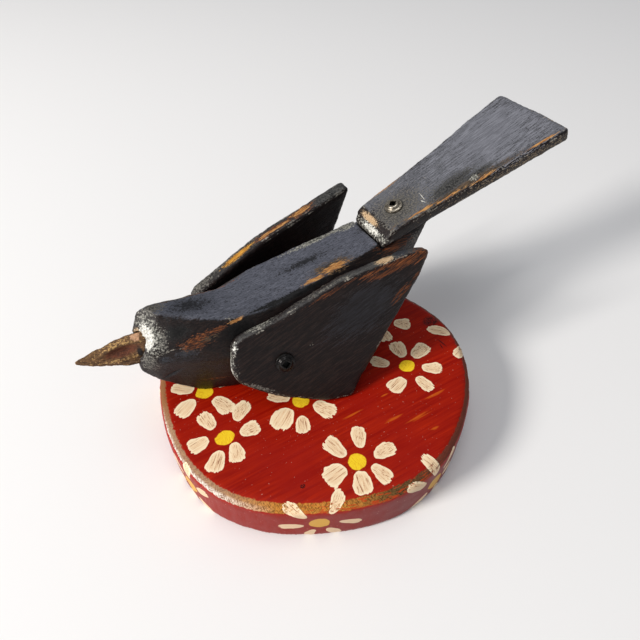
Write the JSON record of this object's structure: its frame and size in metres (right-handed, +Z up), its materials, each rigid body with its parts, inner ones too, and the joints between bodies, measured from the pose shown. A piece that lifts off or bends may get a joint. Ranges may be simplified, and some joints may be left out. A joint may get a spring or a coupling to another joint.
{
  "type": "bird figurine",
  "caption": "Hand-carved folk-art blackbird with flat wings and a flared tail, standing on a thick round painted board with daisies.",
  "frame": {"origin": "middle of the board's flat underside", "axes": "+Z up; +X along the bird from its beak to its tail; the bird's left wing is towards -Y"},
  "size_m": [0.2816, 0.1738, 0.1324],
  "materials": {
    "red_paint": "brushed red paint with cream daisies, rubbed brown along the rim",
    "black_paint": "satin black paint over carved wood, worn to bare wood on the edges",
    "bark": "rough brown stick with bark-like grain",
    "steel": "dull steel"
  },
  "bodies": {
    "root": {"base": "red_paint", "body": "black_paint", "beak": "bark", "left_wing": "black_paint", "right_wing": "black_paint", "tail": "black_paint", "screw_left_wing": "steel", "screw_right_wing": "steel", "screw_tail": "steel"}
  },
  "joints": []
}
